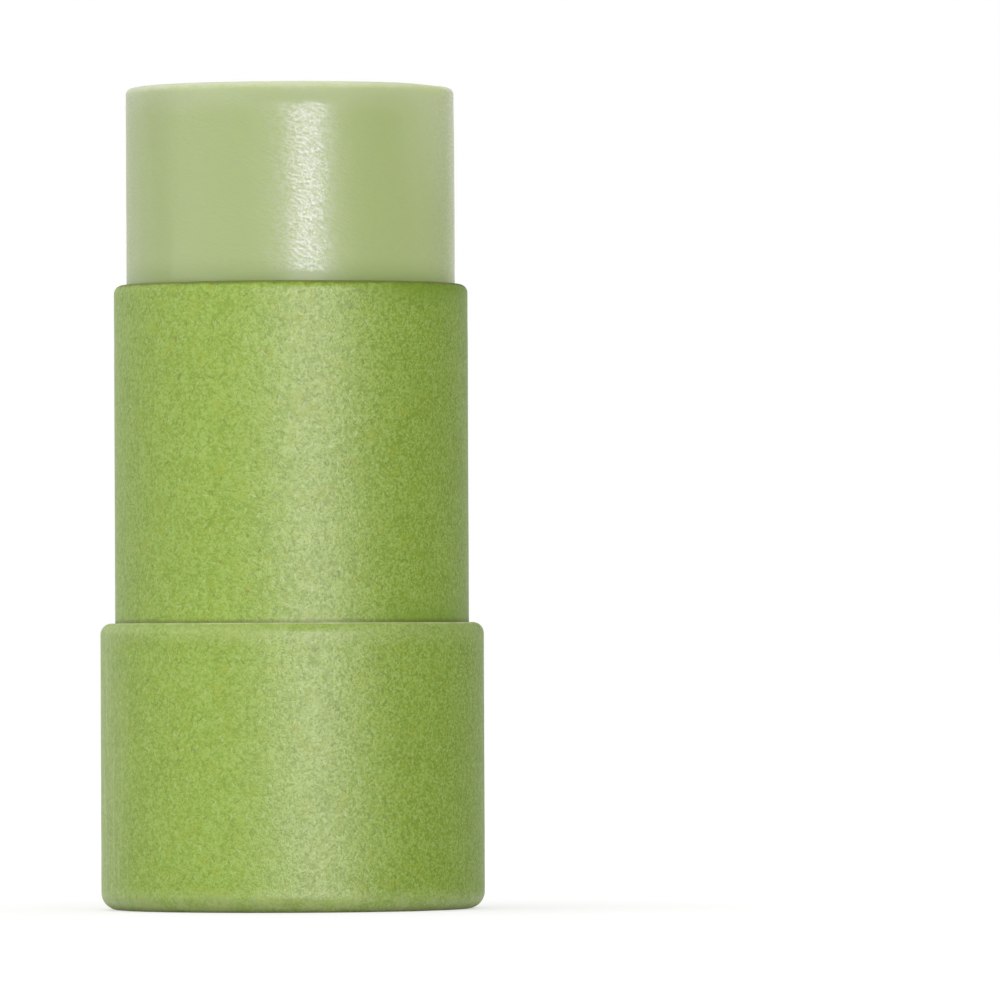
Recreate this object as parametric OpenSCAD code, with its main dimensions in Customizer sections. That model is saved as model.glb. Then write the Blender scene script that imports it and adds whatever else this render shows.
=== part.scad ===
// Push-up lip balm: a stick of balm in a rolled paper tube, pushed up from below with a finger.
// Millimetres, +Z up. The origin is the middle of the base, on the surface it stands on.
// Every piece is a profile turned about Z. The bore sets all the diameters, from the inside out.

/* [Inner tube] */
// Bore of the inner tube, in which the stick slides
bore_d = 19; // [16:0.1:26]
// Wall of the inner tube
tube_wall = 0.65; // [0.5:0.05:1.2]
// Height of the bare neck that stands above the sleeve
neck_h = 19.35; // [12:0.05:30]

/* [Outer sleeve] */
// Wall of the outer sleeve
sleeve_wall = 0.8; // [0.6:0.05:1.4]
// Height of the outer sleeve
sleeve_h = 16.4; // [12:0.1:24]
// How far the turned-in lip reaches past the bore, under the pusher
lip_reach = 0.5; // [0.3:0.05:1.5]
// Inside radius of the corner where the lip turns in
foot_bend_r = 0.2; // [0.1:0.05:0.25]

/* [Balm] */
// How far the balm stands out of the neck
balm_out = 11.3; // [0:0.1:24]
// How far the balm's top lies below the rim when the pusher is down
fill_gap = 0.95; // [0.5:0.05:2]
// Round of the balm's top edge
balm_edge_r = 0.5; // [0.2:0.05:1.5]

/* [Pusher] */
// Height of the pusher
pusher_h = 5; // [4:0.1:8]
// Paper of the pusher's ring
ring_wall = 0.45; // [0.3:0.05:0.7]
// Height of the ring's hem, which is folded up inside
hem_h = 2.75; // [1.5:0.05:3]
// Board of the pressed disc
disc_wall = 0.5; // [0.3:0.05:0.7]
// Inside radius of the disc's pressed corner
disc_bend_r = 0.1; // [0.05:0.05:0.5]

/* [Fits and edges] */
// Radial clearance of the balm in the bore
balm_gap = 0.075; // [0.02:0.005:0.1]
// Radial clearance of the pusher in the bore
pusher_gap = 0.08; // [0.02:0.005:0.1]
// Thickness of a glue film
glue_gap = 0.05; // [0.03:0.01:0.1]
// Round of a cut paper edge
edge_r = 0.1; // [0.05:0.01:0.15]
// Flat that is left on top of a rolled rim
rim_flat = 0.05; // [0.03:0.01:0.1]

/* [Hidden] */
$fn = 96;

paper_green = "#93b25a";
kraft = "#b98f60";
balm_green = "#b4c78a";

bore_r = bore_d / 2;
tube_r = bore_r + tube_wall;
sleeve_bore_r = tube_r + glue_gap;
sleeve_r = sleeve_bore_r + sleeve_wall;
lip_r = bore_r - lip_reach;
lip_h = sleeve_wall;

tube_rim_r = tube_wall - edge_r - rim_flat;
sleeve_rim_r = sleeve_wall - edge_r - rim_flat;
foot_r = foot_bend_r + sleeve_wall;
lip_edge_r = (sleeve_wall - 2 * rim_flat) / 2;

rim_z = sleeve_h + neck_h;
balm_r = bore_r - balm_gap;
balm_l = rim_z - lip_h - pusher_h - fill_gap;
balm_top_z = rim_z + balm_out;
pusher_top_z = balm_top_z - balm_l;
pusher_z = pusher_top_z - pusher_h;

ring_r = bore_r - pusher_gap;
disc_r = ring_r - ring_wall - glue_gap;
slot_r = disc_wall / 2 + glue_gap;
fold_r = slot_r + ring_wall;
fold_z = pusher_z + fold_r;
leg_r = ring_r - 2 * fold_r;

// What the round of a square corner takes away. The solid lies towards "into", as [1, -1].
module corner_off(corner, into, r) {
    translate(corner + r * into)
        difference() {
            translate([into[0] > 0 ? -r : 0, into[1] > 0 ? -r : 0]) square(r);
            circle(r);
        }
}

// Section of a wall between two radii and two heights, with its four corners rounded.
module wall_section(r0, r1, z0, z1, low_in = 0, low_out = 0, top_in = 0, top_out = 0) {
    difference() {
        translate([r0, z0]) square([r1 - r0, z1 - z0]);
        if (low_in > 0) corner_off([r0, z0], [1, 1], low_in);
        if (low_out > 0) corner_off([r1, z0], [-1, 1], low_out);
        if (top_in > 0) corner_off([r0, z1], [1, -1], top_in);
        if (top_out > 0) corner_off([r1, z1], [-1, -1], top_out);
    }
}

// Short wide tube: its top rim is rolled over, its bottom edge turned in as a lip.
module outer_sleeve() {
    color(paper_green)
        rotate_extrude()
            union() {
                wall_section(sleeve_bore_r, sleeve_r, foot_r, sleeve_h,
                    top_in = edge_r, top_out = sleeve_rim_r);
                difference() {
                    wall_section(lip_r, sleeve_r, 0, foot_r, low_in = lip_edge_r, low_out = foot_r);
                    wall_section(lip_r, sleeve_bore_r, lip_h, foot_r, low_out = foot_bend_r);
                    corner_off([lip_r, lip_h], [1, -1], lip_edge_r);
                }
            }
}

// Long tube that is glued into the sleeve and stands on its lip.
module inner_tube() {
    color(paper_green)
        rotate_extrude()
            wall_section(bore_r, tube_r, lip_h, rim_z,
                low_in = edge_r, low_out = foot_bend_r + glue_gap, top_in = edge_r, top_out = tube_rim_r);
}

// Paper ring whose lower edge is folded inwards and up again, like the foot of a paper cup.
module pusher_ring() {
    color(kraft)
        rotate_extrude()
            union() {
                wall_section(ring_r - ring_wall, ring_r, fold_z, pusher_top_z, top_in = edge_r, top_out = edge_r);
                wall_section(leg_r, leg_r + ring_wall, fold_z, pusher_z + hem_h, top_in = edge_r, top_out = edge_r);
                translate([ring_r - fold_r, fold_z])
                    difference() {
                        circle(fold_r);
                        circle(slot_r);
                        translate([-fold_r, 0]) square([2 * fold_r, fold_r]);
                    }
            }
}

// Pressed board disc whose flange is held in the slot of the ring's hem.
module pusher_disc() {
    color(kraft)
        rotate_extrude()
            difference() {
                wall_section(0, disc_r, fold_z, pusher_top_z, low_out = edge_r, top_out = disc_bend_r + disc_wall);
                wall_section(0, disc_r - disc_wall, fold_z, pusher_top_z - disc_wall, top_out = disc_bend_r);
                corner_off([disc_r - disc_wall, fold_z], [1, 1], edge_r);
            }
}

// Stick of balm, cast flat on the pusher.
module balm() {
    color(balm_green)
        rotate_extrude()
            wall_section(0, balm_r, pusher_top_z, balm_top_z, top_out = balm_edge_r);
}

outer_sleeve();
inner_tube();
pusher_ring();
pusher_disc();
balm();
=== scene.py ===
from math import atan2, cos, hypot, pi, radians, sin

import bmesh
import bpy
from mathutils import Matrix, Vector


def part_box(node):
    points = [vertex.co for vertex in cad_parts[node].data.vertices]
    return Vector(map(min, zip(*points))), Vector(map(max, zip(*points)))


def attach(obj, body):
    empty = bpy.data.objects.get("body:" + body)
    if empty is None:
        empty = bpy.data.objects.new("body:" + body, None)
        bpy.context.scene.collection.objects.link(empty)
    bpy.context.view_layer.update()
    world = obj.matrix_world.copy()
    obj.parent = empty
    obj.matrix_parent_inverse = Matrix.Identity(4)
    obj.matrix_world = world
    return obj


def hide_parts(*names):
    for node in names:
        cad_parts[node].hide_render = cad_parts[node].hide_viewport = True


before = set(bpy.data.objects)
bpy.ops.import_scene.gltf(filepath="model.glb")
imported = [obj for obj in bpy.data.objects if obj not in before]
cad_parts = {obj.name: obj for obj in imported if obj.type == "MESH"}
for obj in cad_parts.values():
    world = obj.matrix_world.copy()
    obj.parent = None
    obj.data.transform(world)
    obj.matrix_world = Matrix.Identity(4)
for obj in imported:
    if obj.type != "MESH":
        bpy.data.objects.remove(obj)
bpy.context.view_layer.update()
print("frame loaded:", sorted(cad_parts))

mm = 0.001
tiny = 0.001 * mm


# Everyday helpers

def deselectAll():
    if bpy.context.mode != "OBJECT":
        bpy.ops.object.mode_set(mode="OBJECT")
    bpy.ops.object.select_all(action="DESELECT")


def makeActive(ob):
    deselectAll()
    ob.select_set(True)
    bpy.context.view_layer.objects.active = ob


def openEdit(ob, mode="VERT"):
    makeActive(ob)
    bpy.ops.object.mode_set(mode="EDIT")
    bpy.ops.mesh.select_mode(type=mode)
    bpy.ops.mesh.select_all(action="DESELECT")


def closeEdit():
    bpy.ops.object.mode_set(mode="OBJECT")


def pickVerts(ob, test):
    # picks vertices by their place; edges and faces between them follow
    mesh = bmesh.from_edit_mesh(ob.data)
    for v in mesh.verts:
        v.select = test(v.co)
    mesh.select_flush_mode()
    bmesh.update_edit_mesh(ob.data)


def pickEdges(ob, test):
    mesh = bmesh.from_edit_mesh(ob.data)
    bpy.ops.mesh.select_all(action="DESELECT")
    for e in mesh.edges:
        if test(e.verts[0].co, e.verts[1].co):
            e.select = True
    bmesh.update_edit_mesh(ob.data)


def near(a, b, reach=tiny):
    return abs(a - b) < reach


def radius(co):
    return hypot(co.x, co.y)


def applyModifier(ob, modifier):
    makeActive(ob)
    bpy.ops.object.modifier_apply(modifier=modifier.name)


def smooth(ob, angle=50):
    makeActive(ob)
    bpy.ops.object.shade_smooth_by_angle(angle=radians(angle))


def turnSection(name, sides, stations, closed):
    # draws a circle and pulls it along the section, one (radius, height) after another
    r, z = stations[0]
    bpy.ops.mesh.primitive_circle_add(vertices=sides, radius=r, location=(0, 0, z), fill_type="NOTHING")
    ob = bpy.context.object
    ob.name = ob.data.name = name
    bpy.ops.object.transform_apply(location=True, rotation=False, scale=False)
    openEdit(ob)
    bpy.ops.mesh.select_all(action="SELECT")
    for nextR, nextZ in stations[1:]:
        bpy.ops.mesh.extrude_region_move(TRANSFORM_OT_translate={"value": (0, 0, nextZ - z)})
        bpy.ops.transform.resize(value=(nextR / r, nextR / r, 1), center_override=(0, 0, 0))
        r, z = nextR, nextZ
    if closed:
        bpy.ops.mesh.select_all(action="SELECT")
        bpy.ops.mesh.remove_doubles(threshold=tiny)
    closeEdit()
    return ob


def roundCorner(ob, r, z, size, steps):
    # bevels the ring of edges at that radius and height
    openEdit(ob, "EDGE")
    pickEdges(ob, lambda a, b: near(a.z, z) and near(b.z, z) and near(radius(a), r) and near(radius(b), r))
    bpy.ops.mesh.bevel(offset=size, segments=steps, profile=0.5, affect="EDGES")
    closeEdit()


def addRings(ob, r, low, high, cuts):
    # cuts the upright edges of a wall at that radius, between two heights
    def upright(a, b):
        bottom, top = min(a.z, b.z), max(a.z, b.z)
        onWall = near(radius(a), r, 2 * tiny) and near(radius(b), r, 2 * tiny)
        return onWall and top - bottom > 10 * tiny and bottom > low - tiny and top < high + tiny

    openEdit(ob, "EDGE")
    pickEdges(ob, upright)
    bpy.ops.mesh.subdivide(number_cuts=cuts)
    closeEdit()


def faceOutwards(ob):
    openEdit(ob, "FACE")
    bpy.ops.mesh.select_all(action="SELECT")
    bpy.ops.mesh.normals_make_consistent(inside=False)
    closeEdit()


def unevenness(ob, size, depth):
    # presses the surface in by up to depth, in soft dents of about that size
    texture = bpy.data.textures.new(ob.name + "Dents", "CLOUDS")
    texture.noise_scale = size
    texture.noise_depth = 2
    modifier = ob.modifiers.new("dents", "DISPLACE")
    modifier.texture = texture
    modifier.texture_coords = "LOCAL"
    modifier.direction = "NORMAL"
    modifier.mid_level = 1.0
    modifier.strength = depth
    applyModifier(ob, modifier)


# Node helpers

class Nodes:
    def __init__(self, tree):
        self.tree = tree
        tree.nodes.clear()

    def add(self, kind, inputs=None, **settings):
        node = self.tree.nodes.new(kind)
        for key, value in settings.items():
            setattr(node, key, value)
        for key, value in (inputs or {}).items():
            socket = node.inputs[key]
            if isinstance(value, bpy.types.NodeSocket):
                self.tree.links.new(value, socket)
            else:
                socket.default_value = value
        return node

    def math(self, operation, a, b=0.0, c=0.0):
        return self.add("ShaderNodeMath", {0: a, 1: b, 2: c}, operation=operation).outputs[0]

    def vector(self, operation, a, b=None):
        inputs = {0: a}
        if b is not None:
            inputs["Scale" if operation == "SCALE" else 1] = b
        node = self.add("ShaderNodeVectorMath", inputs, operation=operation)
        return node.outputs["Value" if operation in ("DOT_PRODUCT", "LENGTH") else "Vector"]

    def ramp(self, value, low, high, toLow=0.0, toHigh=1.0, soft=True):
        kind = "SMOOTHSTEP" if soft else "LINEAR"
        return self.add("ShaderNodeMapRange", {0: value, 1: low, 2: high, 3: toLow, 4: toHigh},
                        interpolation_type=kind, clamp=True).outputs[0]

    def mix(self, factor, a, b):
        return self.add("ShaderNodeMix", {0: factor, 6: a, 7: b}, data_type="RGBA").outputs[2]

    def noise(self, vector, size, detail=2.0, rough=0.5, distortion=0.0):
        return self.add("ShaderNodeTexNoise", {"Vector": vector, "Scale": 1 / size, "Detail": detail,
                        "Roughness": rough, "Distortion": distortion}).outputs[0]

    def shift(self, vector, offset=(0, 0, 0), turn=(0, 0, 0), scale=(1, 1, 1)):
        return self.add("ShaderNodeMapping", {"Vector": vector, "Location": offset, "Rotation": turn,
                        "Scale": scale}).outputs[0]

    def bump(self, height, strength, distance):
        inputs = {"Height": height, "Strength": strength, "Distance": distance}
        return self.add("ShaderNodeBump", inputs).outputs[0]


def colour(r, g, b):
    # an 8-bit screen colour, as the linear colour that the nodes take
    def linear(v):
        v = v / 255
        return v / 12.92 if v <= 0.04045 else ((v + 0.055) / 1.055) ** 2.4
    return (linear(r), linear(g), linear(b), 1.0)


# Paper

paper = {
    "deep": colour(123, 155, 36),
    "mid": colour(139, 170, 58),
    "light": colour(153, 183, 78),
    # the colour of the painted shade on the right of the paper
    "olive": colour(147, 168, 36),
    "rightShade": colour(112, 147, 24),
    # dark fibres and specks, and also the colour of painted shade
    "shade": colour(101, 116, 26),
    "umber": colour(114, 122, 32),
    "bark": colour(104, 88, 38),
    # light fibres and flecks, and also the colour of painted light and sheen
    "paleAndLit": colour(196, 208, 152),
    "kraft": colour(168, 128, 84),
    "kraftDark": colour(128, 92, 54),
    "fibreSize": 0.3 * mm,
    "fineSize": 0.15 * mm,
    "raggedSize": 0.5 * mm,
    "patchSize": 1.1 * mm,
    "umberSize": 1.3 * mm,
    "cloudSize": 1.7 * mm,
    "cloudShare": 0.16,
    "relief": 0.05 * mm,
    "roughness": 0.46,
    "swing": 0.04,
    "dull": 0.34,
    "ior": 1.6,
    "specular": 0.4,
    "gleam": (1.0, 0.96, 0.81, 1.0),
}


def specks(n, place, cell, reach, share):
    # small dots, one in each of that share of the cells
    spot = n.add("ShaderNodeTexVoronoi", {"Vector": place, "Scale": 1 / cell}).outputs
    chance = n.add("ShaderNodeSeparateColor", {0: spot["Color"]}).outputs[0]
    dot = n.ramp(n.math("MULTIPLY", spot["Distance"], cell), 0.3 * reach, reach, 1.0, 0.0)
    return n.math("MULTIPLY", dot, n.math("LESS_THAN", chance, share))


def hairs(n, place, cell, length, width, share):
    # short straight fibres that lie in the surface of an upright tube
    spot = n.add("ShaderNodeTexVoronoi", {"Vector": place, "Scale": 1 / cell}).outputs
    away = n.vector("SUBTRACT", place, spot["Position"])
    outward = n.vector("NORMALIZE", n.vector("MULTIPLY", place, (1, 1, 0)))
    flat = n.vector("SUBTRACT", away, n.vector("SCALE", outward, n.vector("DOT_PRODUCT", away, outward)))
    lay = n.vector("SUBTRACT", spot["Color"], (0.5, 0.5, 0.5))
    lay = n.vector("SUBTRACT", lay, n.vector("SCALE", outward, n.vector("DOT_PRODUCT", lay, outward)))
    lay = n.vector("NORMALIZE", lay)
    along = n.math("ABSOLUTE", n.vector("DOT_PRODUCT", flat, lay))
    across = n.vector("LENGTH", n.vector("CROSS_PRODUCT", flat, lay))
    line = n.math("MULTIPLY", n.ramp(along, 0.5 * length, length, 1.0, 0.0),
                  n.ramp(across, 0.4 * width, width, 1.0, 0.0))
    chance = n.add("ShaderNodeSeparateColor", {0: spot["Color"]}).outputs[2]
    return n.math("MULTIPLY", line, n.math("LESS_THAN", chance, share))


def uneven(n, value, noise, reach):
    # the value, moved to and fro by a noise
    return n.math("ADD", value, n.math("MULTIPLY", n.math("SUBTRACT", noise, 0.5), reach))


def fromAxis(n, x, y):
    return n.math("SQRT", n.math("ADD", n.math("MULTIPLY", x, x), n.math("MULTIPLY", y, y)))


def paperNoises(n, place, seed):
    # what the paper's colour, edges and relief share
    moved = n.shift(place, offset=seed)
    return {
        "moved": moved,
        "grain": n.noise(moved, paper["fibreSize"], 3.0, 0.95),
        "cloud": n.noise(n.shift(moved, offset=(0.3, 0.1, 0.2)), paper["cloudSize"], 2.0, 0.6),
        "patch": n.noise(n.shift(moved, offset=(0.1, 0.2, 0.4)), paper["patchSize"], 3.0, 0.7),
        "ragged": n.noise(moved, paper["raggedSize"], 3.0, 0.7),
        "fine": n.noise(moved, paper["fineSize"], 2.0, 0.7),
    }


def dyedColour(n, x, noises):
    tone = n.math("ADD", n.math("MULTIPLY", noises["grain"], 1 - paper["cloudShare"]),
                  n.math("MULTIPLY", noises["cloud"], paper["cloudShare"]))
    # painted light and shade: the grain is stronger on the right, standing in for relief under raking light
    tone = n.math("MULTIPLY_ADD", n.math("SUBTRACT", tone, 0.5), n.ramp(x, -2 * mm, 8 * mm, 1.0, 1.2), 0.5)
    surface = n.mix(n.ramp(tone, 0.41, 0.5, soft=False), paper["deep"], paper["mid"])
    surface = n.mix(n.ramp(tone, 0.5, 0.59, soft=False), surface, paper["light"])
    return n.mix(n.ramp(noises["patch"], 0.5, 0.72, 0.0, 0.6), surface, paper["olive"])


def addFibres(n, surface, place, noises):
    bend = n.add("ShaderNodeTexNoise", {"Vector": noises["moved"], "Scale": 1 / paper["raggedSize"]})
    bent = n.vector("ADD", place, n.vector("SCALE", bend.outputs["Color"], 0.2 * mm))
    higher = n.shift(bent, offset=(0.0, 0.0, 13.1 * mm))
    other = n.shift(bent, offset=(0.0, 0.0, 7.7 * mm))
    bits = (
        (hairs(n, bent, 0.9 * mm, 0.25 * mm, 0.055 * mm, 0.4), 0.3, "paleAndLit"),
        (hairs(n, higher, 0.8 * mm, 0.25 * mm, 0.055 * mm, 0.4), 0.5, "shade"),
        (specks(n, bent, 0.9 * mm, 0.17 * mm, 0.3), 0.5, "shade"),
        (specks(n, other, 1.3 * mm, 0.15 * mm, 0.35), 0.5, "bark"),
    )
    for bit, share, tint in bits:
        surface = n.mix(n.math("MULTIPLY", bit, share), surface, paper[tint])
    return surface


def shadedRight(n, surface, x, noises):
    # painted shade: darker on the right, where less light falls; the fine pits and flecks are the paper's
    # own grain, made stronger on the right as painted relief under raking light
    surface = n.mix(n.ramp(x, 4 * mm, 8.5 * mm, 0.0, 0.26), surface, paper["rightShade"])
    right = n.ramp(x, -3 * mm, 7 * mm, 0.25, 1.0)
    pits = n.ramp(noises["fine"], 0.34, 0.47, 0.36, 0.0)
    flecks = n.ramp(noises["fine"], 0.53, 0.66, 0.0, 0.2)
    surface = n.mix(n.math("MULTIPLY", right, pits), surface, paper["shade"])
    return n.mix(n.math("MULTIPLY", right, flecks), surface, paper["paleAndLit"])


def paleEndsAndSheen(n, surface, x, z, noises, paleAndLit):
    # a pale wash towards the rim, and painted light at the foot that lifts the shade near the floor
    top = paleAndLit["rim"]
    wash = n.math("MAXIMUM", n.ramp(z, top - paleAndLit["wash"], top - 0.3 * mm, 0.0, paleAndLit["rimShare"]),
                  n.ramp(z, 0.3 * mm, paleAndLit["wash"], paleAndLit["footShare"], 0.0))
    wash = n.math("MULTIPLY", wash, n.ramp(noises["patch"], 0.4, 0.55, 0.6, 1.2))
    surface = n.mix(wash, surface, paper["paleAndLit"])
    # upright creases on the left, whose pale backs are a painted sheen
    crease = n.noise(n.shift(noises["moved"], scale=(1, 1, 0.05)), 0.35 * mm, 2.0, 0.6)
    pale = n.math("MULTIPLY", n.ramp(x, -10.3 * mm, -8.8 * mm, 1.0, 0.0),
                  n.ramp(crease, 0.48, 0.66, 0.12, 0.4))
    surface = n.mix(pale, surface, paper["paleAndLit"])
    # a pale line along the rim
    edge = uneven(n, z, noises["ragged"], paleAndLit["ragged"])
    line = n.ramp(edge, top - 0.11 * mm, top - 0.04 * mm, 0.0, paleAndLit["share"])
    line = n.math("MULTIPLY", line, n.ramp(noises["cloud"], 0.4, 0.6, 0.5, 1.0))
    return n.mix(line, surface, paper["paleAndLit"])


def shadedJoint(n, surface, x, z, noises, shaded):
    # painted shade: darker on the right at both ends of the neck, and a dark line of painted shade in the
    # joint
    low, top, reach = shaded["low"], shaded["rim"], shaded["reach"]
    ends = n.math("MAXIMUM", n.ramp(z, low, low + reach, 1.0, 0.0), n.ramp(z, top - reach, top - 0.4 * mm))
    rightShade = n.math("MULTIPLY", ends, n.ramp(x, 2.5 * mm, 7.5 * mm, 0.0, shaded["rightShade"]))
    surface = n.mix(rightShade, surface, paper["rightShade"])
    edge = uneven(n, z, noises["ragged"], shaded["ragged"])
    return n.mix(n.ramp(edge, low, shaded["high"], shaded["share"], 0.0), surface, paper["shade"])


def umberRim(n, surface, r, noises, umber):
    # the rim's upper face is darker and browner in places
    edge = uneven(n, r, noises["ragged"], umber["ragged"])
    cover = n.ramp(n.noise(noises["moved"], paper["umberSize"]), 0.42, 0.58)
    tint = n.mix(cover, paper["shade"], paper["umber"])
    return n.mix(n.ramp(edge, umber["inner"], umber["outer"], umber["share"], 0.0), surface, tint)


def greenPaper(name, kraftRadius, seed, paleAndLit=None, shaded=None, umber=None):
    # dyed fibre paper outside, and bare kraft from kraftRadius inwards
    material = bpy.data.materials.new(name)
    material.use_nodes = True
    n = Nodes(material.node_tree)
    place = n.add("ShaderNodeTexCoord").outputs["Object"]
    x, y, z = n.add("ShaderNodeSeparateXYZ", {0: place}).outputs
    r = fromAxis(n, x, y)
    noises = paperNoises(n, place, seed)
    surface = dyedColour(n, x, noises)
    surface = addFibres(n, surface, place, noises)
    surface = shadedRight(n, surface, x, noises)
    if paleAndLit:
        surface = paleEndsAndSheen(n, surface, x, z, noises, paleAndLit)
    if shaded:
        surface = shadedJoint(n, surface, x, z, noises, shaded)
    if umber:
        surface = umberRim(n, surface, r, noises, umber)
    grain = noises["grain"]
    kraft = n.mix(n.ramp(grain, 0.35, 0.65), paper["kraftDark"], paper["kraft"])
    edge = uneven(n, r, grain, 0.2 * mm)
    surface = n.mix(n.ramp(edge, kraftRadius, kraftRadius + 0.06 * mm, 1.0, 0.0), surface, kraft)
    # the edges and the bare inside are duller
    dull = n.ramp(r, kraftRadius + 0.3 * mm, kraftRadius + 0.6 * mm, paper["dull"], 0.0)
    middle, swing = paper["roughness"], paper["swing"]
    shader = n.add("ShaderNodeBsdfPrincipled", {
        "Base Color": surface,
        "Roughness": n.math("ADD", dull, n.ramp(grain, 0.35, 0.65, middle + swing, middle - swing)),
        "IOR": paper["ior"],
        "Specular IOR Level": paper["specular"],
        "Specular Tint": paper["gleam"],
        "Normal": n.bump(grain, 1.0, paper["relief"]),
    })
    n.add("ShaderNodeOutputMaterial", {0: shader.outputs[0]})
    return material


# Outer sleeve

sleeve = {
    "sides": 320,
    "wall": 0.8 * mm,
    "lip": 0.8 * mm,
    "lipReach": 2.0 * mm,
    "rimRound": 0.65 * mm,
    "edgeRound": 0.1 * mm,
    "footRound": 1.0 * mm,
    "innerBend": 0.2 * mm,
    "lipRound": 0.35 * mm,
    "inset": 0.012 * mm,
    "rings": 90,
    "boreRings": 20,
    "dents": 0.02 * mm,
    "dentSize": 3 * mm,
    "pleatSides": 5,
    "pleatDepth": 0.11 * mm,
}


def onPleat(co):
    # every so many columns of the turned wall, shifted now and then
    column = round((atan2(co.y, co.x) / (2 * pi)) * sleeve["sides"]) % sleeve["sides"]
    return (column + (column // 16) % 3) % sleeve["pleatSides"] == 0


def buildSleeve():
    s = sleeve
    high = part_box("outer_sleeve")[1]
    outside = high.x - s["inset"]
    bore = high.x - s["wall"]
    mouth = high.x - s["lipReach"]
    top = high.z
    stations = [(outside, 0), (outside, top), (bore, top), (bore, s["lip"]), (mouth, s["lip"]), (mouth, 0),
                (outside, 0)]
    ob = turnSection("sleevePaper", s["sides"], stations, True)
    roundCorner(ob, outside, 0, s["footRound"], 10)
    roundCorner(ob, outside, top, s["rimRound"], 8)
    roundCorner(ob, bore, top, s["edgeRound"], 3)
    roundCorner(ob, bore, s["lip"], s["innerBend"], 3)
    roundCorner(ob, mouth, s["lip"], s["lipRound"], 5)
    roundCorner(ob, mouth, 0, s["lipRound"], 5)
    addRings(ob, outside, s["footRound"], top - s["rimRound"], s["rings"])
    addRings(ob, bore, s["lip"] + s["innerBend"], top - s["edgeRound"], s["boreRings"])
    # the paper gathers in small pleats where it is turned in under the foot
    for inner, depth in ((mouth + s["lipRound"] + 0.02 * mm, 1.0), (mouth + 0.15 * mm, 0.7)):
        openEdit(ob)
        pickVerts(ob, lambda co: co.z < 0.3 * mm and radius(co) < inner and onPleat(co))
        bpy.ops.transform.translate(value=(0, 0, s["pleatDepth"] * depth))
        closeEdit()
    faceOutwards(ob)
    unevenness(ob, s["dentSize"], s["dents"])
    smooth(ob)
    # a pale wash and line at the rim, and painted light at the foot
    rim = {"rim": top, "share": 0.9, "ragged": 0.16 * mm, "wash": 1.5 * mm, "rimShare": 0.18,
           "footShare": 0.36}
    ob.data.materials.append(greenPaper("sleeveGreen", bore + 0.05 * mm, (0.011, 0.023, 0.005), paleAndLit=rim))
    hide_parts("outer_sleeve")
    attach(ob, "tube")
    print("sleeve built:", len(ob.data.polygons), "faces")


# Inner tube, whose upper part is the neck

neck = {
    "sides": 320,
    "wall": 0.65 * mm,
    "rimRound": 0.5 * mm,
    "edgeRound": 0.1 * mm,
    "footRound": 0.25 * mm,
    "inset": 0.012 * mm,
    "rings": 160,
    "boreRings": 40,
    "dents": 0.02 * mm,
    "dentSize": 3 * mm,
}


def buildNeck():
    s = neck
    low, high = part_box("inner_tube")
    outside = high.x - s["inset"]
    bore = high.x - s["wall"]
    stations = [(outside, low.z), (outside, high.z), (bore, high.z), (bore, low.z), (outside, low.z)]
    ob = turnSection("neckPaper", s["sides"], stations, True)
    roundCorner(ob, outside, high.z, s["rimRound"], 8)
    roundCorner(ob, bore, high.z, s["edgeRound"], 3)
    roundCorner(ob, outside, low.z, s["footRound"], 3)
    addRings(ob, outside, low.z + s["footRound"], high.z - s["rimRound"], s["rings"])
    addRings(ob, bore, low.z, high.z - s["edgeRound"], s["boreRings"])
    faceOutwards(ob)
    unevenness(ob, s["dentSize"], s["dents"])
    smooth(ob)
    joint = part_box("outer_sleeve")[1].z
    # painted shade at the joint and on the right at both ends of the neck
    foot = {"low": joint + 0.08 * mm, "high": joint + 0.26 * mm, "share": 0.6, "ragged": 0.25 * mm,
            "rim": high.z, "reach": 1.9 * mm, "rightShade": 0.55}
    rim = {"inner": outside - 0.2 * mm, "outer": outside - 0.07 * mm, "share": 0.9, "ragged": 0.3 * mm}
    ob.data.materials.append(greenPaper("neckGreen", bore, (0.031, 0.003, 0.045), shaded=foot, umber=rim))
    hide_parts("inner_tube")
    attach(ob, "tube")
    print("neck built:", len(ob.data.polygons), "faces")


# Balm

balm = {
    "sides": 320,
    "edgeRound": 0.38 * mm,
    "inset": 0.01 * mm,
    "rings": 120,
    "topRings": 14,
    "sag": (-0.03 * mm, 0, -0.05 * mm),
    "sagReach": 4 * mm,
    "dents": 0.02 * mm,
    "dentSize": 2.5 * mm,
    "wax": colour(176, 193, 130),
    # paler and darker wax colours that paint light, sheen and shade on the stick
    "upperLight": colour(196, 207, 168),
    "litWax": colour(206, 211, 186),
    "pale": colour(200, 213, 163),
    "rimShade": colour(140, 163, 92),
    "roughness": 0.45,
    "specular": 0.25,
    "coat": 0.17,
    "leftCoat": 0.38,
    "rightCoat": 0.5,
    "gloss": 0.235,
    "dullEdge": 0.2,
    "lampTurn": 0.09,
    "markSize": 0.15 * mm,
    "markFall": 18,
    "markStretch": 0.36,
    "speckleSize": 0.11 * mm,
    "waveSize": 1.1 * mm,
    "skinRelief": 0.008 * mm,
    "coatRelief": 0.026 * mm,
    "scatter": 0.8,
    "scatterTint": (1.0, 1.0, 0.55),
    "scatterReach": 1.0 * mm,
}


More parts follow.
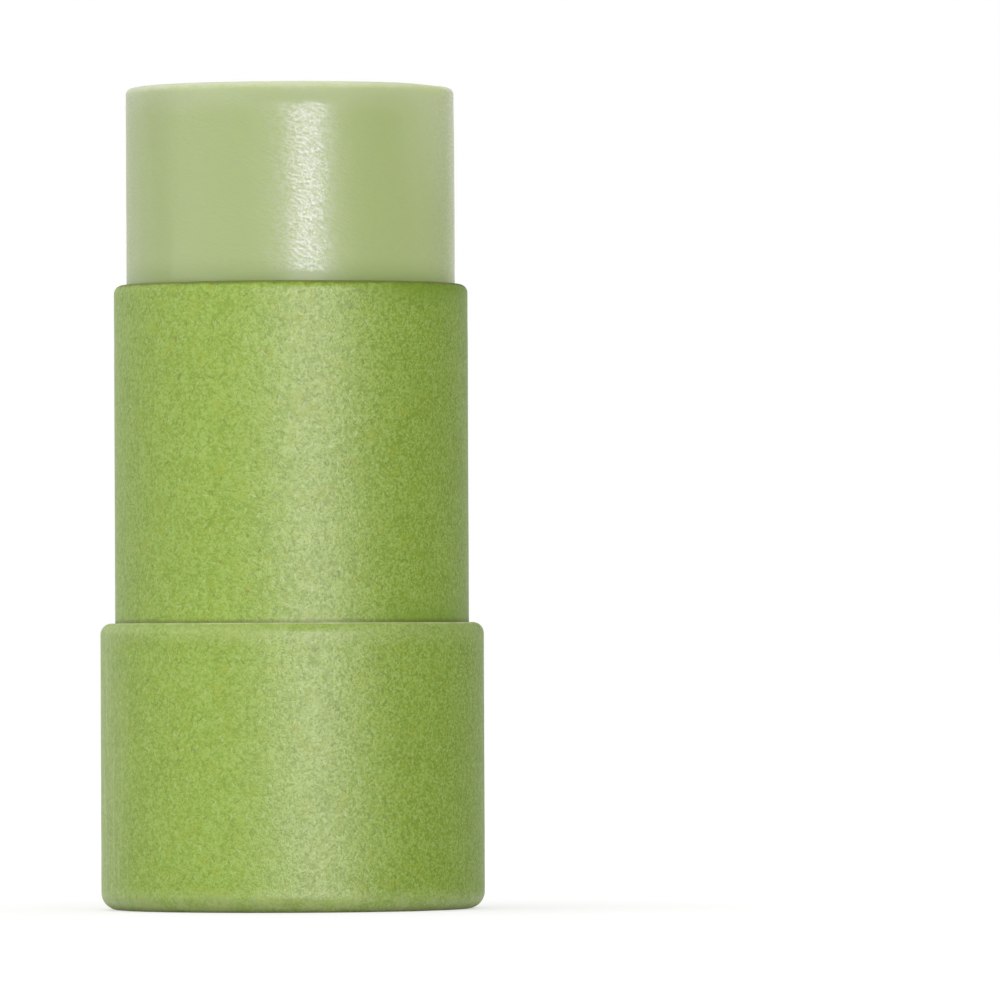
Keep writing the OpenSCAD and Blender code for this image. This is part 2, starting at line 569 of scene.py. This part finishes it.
def wipeMarks(n, turn, z, wall, top):
    # fine marks that fall slightly to the right, wrapped round the side of the stick
    wrapped = n.add("ShaderNodeCombineXYZ", {0: n.math("MULTIPLY", turn, wall), 1: z}).outputs[0]
    turned = n.shift(wrapped, turn=(0, 0, radians(balm["markFall"])))
    stretched = n.shift(turned, scale=(balm["markStretch"], 1, 1))
    marks = n.math("SUBTRACT", n.noise(stretched, balm["markSize"], 2.0, 0.6, 0.4), 0.5)
    marks = n.math("MULTIPLY", marks, n.ramp(z, top - 0.4 * mm, top - 0.2 * mm, 1.0, 0.0))
    # they fade out at the back, where the wrap has its seam
    return n.math("MULTIPLY", marks, n.ramp(n.math("ABSOLUTE", turn), 2.6, 3.0, 1.0, 0.0))


def waxColour(n, r, z, turn, height, wall, top, rim):
    # painted light: the upper part and the top are paler, and the top edge paler still, where light from
    # above falls
    surface = n.mix(n.ramp(height, top - 2.2 * mm, top - 0.3 * mm, 0.0, 0.5), balm["wax"], balm["upperLight"])
    surface = n.mix(n.ramp(height, top - 0.5 * mm, top - 0.1 * mm, 0.0, 0.7), surface, balm["litWax"])
    # painted sheen: the right side is paler towards the top
    right = n.math("MINIMUM", n.ramp(turn, 0.55, 1.2), n.ramp(turn, 1.9, 2.9, 1.0, 0.0))
    right = n.math("MULTIPLY", right, n.ramp(r, wall - 1.5 * mm, wall - 0.4 * mm))
    right = n.math("MULTIPLY", right, n.ramp(z, rim + 2.5 * mm, top - 1.0 * mm, 0.3, 0.9))
    surface = n.mix(right, surface, balm["pale"])
    # painted shade near the rim: darker from above the rim downwards, so what was in the tube is a little
    # darker too
    return n.mix(n.ramp(z, rim - 0.2 * mm, rim + 1.5 * mm, 0.5, 0.0), surface, balm["rimShade"])


def sideSheen(n, turn):
    # glossier on both sides than in front
    left = n.ramp(turn, -0.8, -0.2, balm["leftCoat"], balm["coat"])
    right = n.math("MINIMUM", n.ramp(turn, 0.75, 1.3, balm["coat"], balm["rightCoat"]),
                   n.ramp(turn, 1.9, 2.9, balm["rightCoat"], balm["leftCoat"]))
    return n.math("MAXIMUM", left, right)


def balmWax(name, wall, top, rim):
    material = bpy.data.materials.new(name)
    material.use_nodes = True
    n = Nodes(material.node_tree)
    place = n.add("ShaderNodeTexCoord").outputs["Object"]
    x, y, z = n.add("ShaderNodeSeparateXYZ", {0: place}).outputs
    turn = n.math("ARCTAN2", x, n.math("MULTIPLY", y, -1.0))
    marks = wipeMarks(n, turn, z, wall, top)
    speckle = n.math("SUBTRACT", n.noise(place, balm["speckleSize"], 1.0), 0.5)
    scuffs = n.math("ADD", marks, n.math("MULTIPLY", speckle, 0.7))
    waves = n.noise(place, balm["waveSize"], 3.0, 0.6)
    relief = n.math("ADD", marks, n.math("MULTIPLY", waves, 0.8))
    height = uneven(n, z, n.noise(place, balm["waveSize"], 4.0, 0.8), 0.7 * mm)
    surface = waxColour(n, fromAxis(n, x, y), z, turn, height, wall, top, rim)
    # the front highlight stops short of the edge and of the rim
    fromLamp = n.math("ABSOLUTE", n.math("SUBTRACT", turn, balm["lampTurn"]))
    front = n.ramp(fromLamp, 0.18, 0.5, 1.0, 0.0)
    upper = n.ramp(height, top - 1.5 * mm, top - 0.95 * mm)
    scraped = n.math("MULTIPLY", n.ramp(height, rim + 0.45 * mm, rim + 0.65 * mm, 1.0, 0.0),
                     n.ramp(z, rim - 0.8 * mm, rim - 0.3 * mm))
    bare = n.math("SUBTRACT", 1.0, n.math("MULTIPLY", front, n.math("MAXIMUM", upper, scraped)))
    glint = n.ramp(scuffs, -0.16, 0.16, 0.25, 1.75, soft=False)
    glossy = n.math("MULTIPLY", bare, n.math("MULTIPLY", sideSheen(n, turn), glint))
    # painted highlight: the wax is a little paler in fine scuff marks where the lamp's highlight falls
    paintedGlint = n.math("MULTIPLY", n.ramp(fromLamp, 0.05, 0.34, 1.0, 0.0), bare)
    paintedGlint = n.math("MULTIPLY", paintedGlint, n.ramp(scuffs, -0.12, 0.18, 0.0, 0.36, soft=False))
    surface = n.mix(paintedGlint, surface, balm["litWax"])
    dull = n.math("MULTIPLY", n.math("MULTIPLY", front, upper), balm["dullEdge"])
    shader = n.add("ShaderNodeBsdfPrincipled", {
        "Base Color": surface,
        "Roughness": n.math("ADD", balm["roughness"], dull),
        "Specular IOR Level": balm["specular"],
        "Subsurface Weight": balm["scatter"],
        "Subsurface Radius": balm["scatterTint"],
        "Subsurface Scale": balm["scatterReach"],
        "Normal": n.bump(relief, 1.0, balm["skinRelief"]),
        "Coat Weight": glossy,
        "Coat Roughness": balm["gloss"],
        "Coat Normal": n.bump(relief, 1.0, balm["coatRelief"]),
    })
    n.add("ShaderNodeOutputMaterial", {0: shader.outputs[0]})
    return material


def buildBalm():
    s = balm
    low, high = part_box("balm")
    r = high.x - s["inset"]
    top = high.z - s["inset"]
    stations = [(0.02 * r, low.z), (r, low.z), (r, top), (0.02 * r, top)]
    ob = turnSection("balmStick", s["sides"], stations, False)
    roundCorner(ob, r, top, s["edgeRound"], 8)
    openEdit(ob)
    for height in (low.z, top):
        pickVerts(ob, lambda co: near(co.z, height) and radius(co) < 0.1 * r)
        bpy.ops.mesh.merge(type="CENTER")
    closeEdit()
    openEdit(ob, "EDGE")
    pickEdges(ob, lambda a, b: near(a.z, top) and near(b.z, top) and abs(radius(a) - radius(b)) > 2 * mm)
    bpy.ops.mesh.subdivide(number_cuts=s["topRings"])
    closeEdit()
    addRings(ob, r, low.z, top - s["edgeRound"], s["rings"])
    # the edge is a little lower and rounder on the right
    openEdit(ob)
    pickVerts(ob, lambda co: co.z > top - 0.3 * mm and co.x > 0.9 * r)
    bpy.ops.transform.translate(value=s["sag"], use_proportional_edit=True,
                                proportional_size=s["sagReach"], proportional_edit_falloff="SMOOTH")
    closeEdit()
    faceOutwards(ob)
    unevenness(ob, s["dentSize"], s["dents"])
    smooth(ob)
    ob.data.materials.append(balmWax("balmWax", r, top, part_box("inner_tube")[1].z))
    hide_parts("balm")
    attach(ob, "stick")
    print("balm built:", len(ob.data.polygons), "faces")


# Pusher

pusher = {
    "grainSize": 0.4 * mm,
    "roughness": 0.8,
    "bump": 0.4,
    "relief": 0.04 * mm,
}


def kraftBoard(name):
    material = bpy.data.materials.new(name)
    material.use_nodes = True
    n = Nodes(material.node_tree)
    place = n.add("ShaderNodeTexCoord").outputs["Object"]
    grain = n.noise(place, pusher["grainSize"], 4.0, 0.9)
    shader = n.add("ShaderNodeBsdfPrincipled", {
        "Base Color": n.mix(n.ramp(grain, 0.35, 0.65), paper["kraftDark"], paper["kraft"]),
        "Roughness": pusher["roughness"],
        "Normal": n.bump(grain, pusher["bump"], pusher["relief"]),
    })
    n.add("ShaderNodeOutputMaterial", {0: shader.outputs[0]})
    return material


def dressPusher():
    board = kraftBoard("pusherKraft")
    for node in ("pusher_ring", "pusher_disc"):
        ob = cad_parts[node]
        ob.data.materials.clear()
        ob.data.materials.append(board)
    print("pusher dressed")


# Stage: floor, world, lamps and camera

photo = {
    "pixel": 0.05728 * mm,
    "footColumn": 291.6,
    "footRow": 908,
    "eyeRow": 634,
    "middle": 500,
    "distance": 0.70,
    "sensor": 36.0,
    "roll": -0.25,
}


def buildCamera():
    p = photo
    side = (p["middle"] - p["footColumn"]) * p["pixel"]
    aim = Vector((side, 0, (p["footRow"] - p["middle"]) * p["pixel"]))
    eye = Vector((side, -p["distance"], (p["footRow"] - p["eyeRow"]) * p["pixel"]))
    data = bpy.data.cameras.new("camera")
    data.sensor_width = p["sensor"]
    data.lens = p["sensor"] * p["distance"] / (2 * p["middle"] * p["pixel"])
    data.clip_start, data.clip_end = 0.01, 50
    camera = bpy.data.objects.new("camera", data)
    bpy.context.collection.objects.link(camera)
    turn = (aim - eye).to_track_quat("-Z", "Y")
    camera.matrix_world = turn.to_matrix().to_4x4()
    camera.rotation_euler.rotate_axis("Z", radians(p["roll"]))
    camera.location = eye
    bpy.context.scene.camera = camera
    print("camera placed, lens %.1f mm" % data.lens)


lamps = {
    "key": {"azimuth": 12, "height": 0.035, "distance": 0.5, "size": (0.16, 0.16), "power": 1.02,
            "tint": (1.0, 0.95, 0.93), "diffuse": True},
    "gloss": {"azimuth": 13.5, "height": 0.035, "distance": 0.5, "size": (0.175, 0.16), "power": 4.6,
              "tint": (0.776, 0.694, 1.0), "diffuse": False},
    "window": {"azimuth": -50, "height": 0.05, "distance": 0.5, "size": (0.8, 0.4), "power": 2.3,
               "tint": (1.0, 1.0, 1.0), "diffuse": False},
}
studio = {
    "aim": 0.024,
    "room": 0.5,
    "above": 1.14,
    "lean": 0.24,
    "mirrorLeft": 1.25,
    "mirrorRight": 0.0,
    "mirrorBehind": 1.0,
    "white": 1.0,
}


def buildLamps():
    for name, s in lamps.items():
        data = bpy.data.lights.new(name, "AREA")
        data.shape = "RECTANGLE"
        data.size, data.size_y = s["size"]
        data.energy = s["power"]
        data.color = s["tint"]
        lamp = bpy.data.objects.new(name, data)
        bpy.context.collection.objects.link(lamp)
        a = radians(s["azimuth"])
        spot = Vector((sin(a) * s["distance"], -cos(a) * s["distance"], s["height"]))
        lamp.location = spot
        lamp.rotation_euler = (Vector((0, 0, studio["aim"])) - spot).to_track_quat("-Z", "Y").to_euler()
        lamp.visible_camera = False
        lamp.visible_diffuse = s["diffuse"]


def buildWorld():
    world = bpy.data.worlds.new("studio")
    bpy.context.scene.world = world
    world.use_nodes = True
    n = Nodes(world.node_tree)
    path = n.add("ShaderNodeLightPath").outputs
    x, y, z = n.add("ShaderNodeSeparateXYZ", {0: n.add("ShaderNodeTexCoord").outputs["Generated"]}).outputs
    # a room with a pale ceiling lights the object
    # what it mirrors is white, but dim towards the front right
    soft = n.math("MULTIPLY", n.ramp(z, 0.0, 0.9, studio["room"], studio["above"]),
                  n.ramp(x, -1.0, 1.0, 1 + studio["lean"], 1 - studio["lean"], soft=False))
    side = n.math("ADD", x, n.math("MULTIPLY", y, 0.3))
    mirror = n.ramp(side, -0.6, 0.5, studio["mirrorLeft"], studio["mirrorRight"])
    mirror = n.math("MAXIMUM", mirror, n.ramp(y, 0.7, 1.0, 0.0, studio["mirrorBehind"]))
    level = n.math("ADD", n.math("MULTIPLY", path["Is Glossy Ray"], n.math("SUBTRACT", mirror, soft)), soft)
    seen = n.math("MAXIMUM", path["Is Camera Ray"], path["Is Transmission Ray"])
    level = n.math("ADD", n.math("MULTIPLY", seen, n.math("SUBTRACT", studio["white"], level)), level)
    light = n.add("ShaderNodeBackground", {"Color": (1, 1, 1, 1), "Strength": level})
    n.add("ShaderNodeOutputWorld", {0: light.outputs[0]})


floorLook = {"size": 6.0, "paint": 0.5, "glow": 0.54}


def buildFloor():
    bpy.ops.mesh.primitive_plane_add(size=floorLook["size"], location=(0, 0, 0))
    floor = bpy.context.object
    floor.name = "studioFloor"
    material = bpy.data.materials.new("floorWhite")
    material.use_nodes = True
    n = Nodes(material.node_tree)
    path = n.add("ShaderNodeLightPath").outputs
    seen = n.math("MAXIMUM", n.math("MAXIMUM", path["Is Camera Ray"], path["Is Glossy Ray"]),
                  path["Is Transmission Ray"])
    paint = n.add("ShaderNodeBsdfDiffuse", {"Color": (floorLook["paint"],) * 3 + (1,)}).outputs[0]
    glow = n.add("ShaderNodeEmission", {"Color": (1, 1, 1, 1),
                 "Strength": n.math("MULTIPLY", seen, floorLook["glow"])}).outputs[0]
    n.add("ShaderNodeOutputMaterial", {0: n.add("ShaderNodeAddShader", {0: paint, 1: glow}).outputs[0]})
    floor.data.materials.append(material)
    print("floor laid")


buildSleeve()
buildNeck()
buildBalm()
dressPusher()
buildCamera()
buildLamps()
buildWorld()
buildFloor()
bpy.context.scene.view_settings.view_transform = "Standard"
